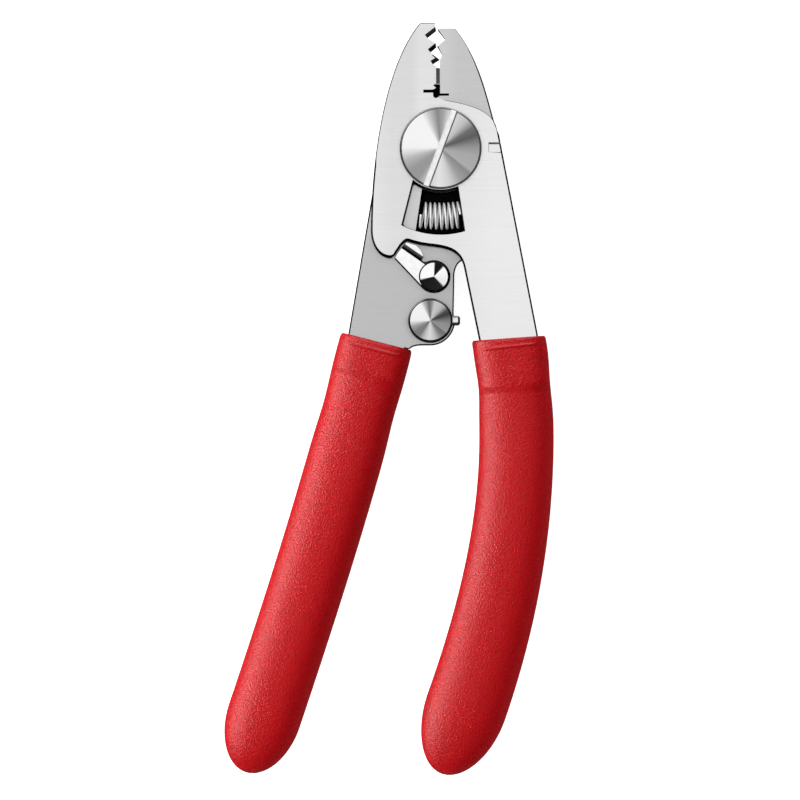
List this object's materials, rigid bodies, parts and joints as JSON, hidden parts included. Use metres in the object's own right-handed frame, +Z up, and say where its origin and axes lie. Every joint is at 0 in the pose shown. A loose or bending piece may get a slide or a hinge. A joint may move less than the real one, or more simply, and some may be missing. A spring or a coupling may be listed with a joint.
{
  "type": "fibre stripper",
  "caption": "Plier-type stripper for optical fibre: crossed steel halves with notched jaws, a slotted pivot, a spring, a swinging lock, a closing stop and dipped grips.",
  "frame": {"origin": "on the pivot's axis, in the plane that the tool rests on when it lies on its back", "axes": "+Z up, out of the front face; +Y along the tool, towards the jaws; +X towards the right handle"},
  "size_m": [0.0742, 0.1693, 0.012],
  "materials": {
    "steel_light": "satin ground face",
    "steel_brushed": "fine brushed",
    "steel_turned": "turned, fine rings",
    "steel_polished": "polished",
    "spring_wire": "bright drawn wire",
    "steel_dull": "dull, as drawn",
    "grip_red": "semi-gloss with a fine leather grain"
  },
  "bodies": {
    "back_half": {"back_plate": "steel_brushed", "pivot_bolt": "steel_turned", "pivot_washer": "steel_brushed", "pivot_nut": "steel_brushed", "return_spring": "spring_wire", "lock_washer": "spring_wire", "lock_rivet": "steel_polished", "stop_barrel": "steel_turned", "stop_screw": "steel_dull", "left_grip": "grip_red"},
    "front_half": {"front_plate": "steel_light", "right_grip": "grip_red"},
    "lock": {"lock_lever": "steel_polished"}
  },
  "joints": [
    {"name": "handle_pivot", "type": "hinge", "parent": "back_half", "child": "front_half", "pos_m": [0, 0, 0.006], "axis": [0, 0, -1], "range_deg": [0, 4.65], "stiffness_Nm_per_rad": 0.3, "springref_deg": -10.89, "deforming": ["return_spring"]},
    {"name": "lock_swing", "type": "hinge", "parent": "back_half", "child": "lock", "pos_m": [-0.0015, -0.02885, 0.0078], "axis": [0, 0, 1], "range_deg": [0, 65]}
  ]
}
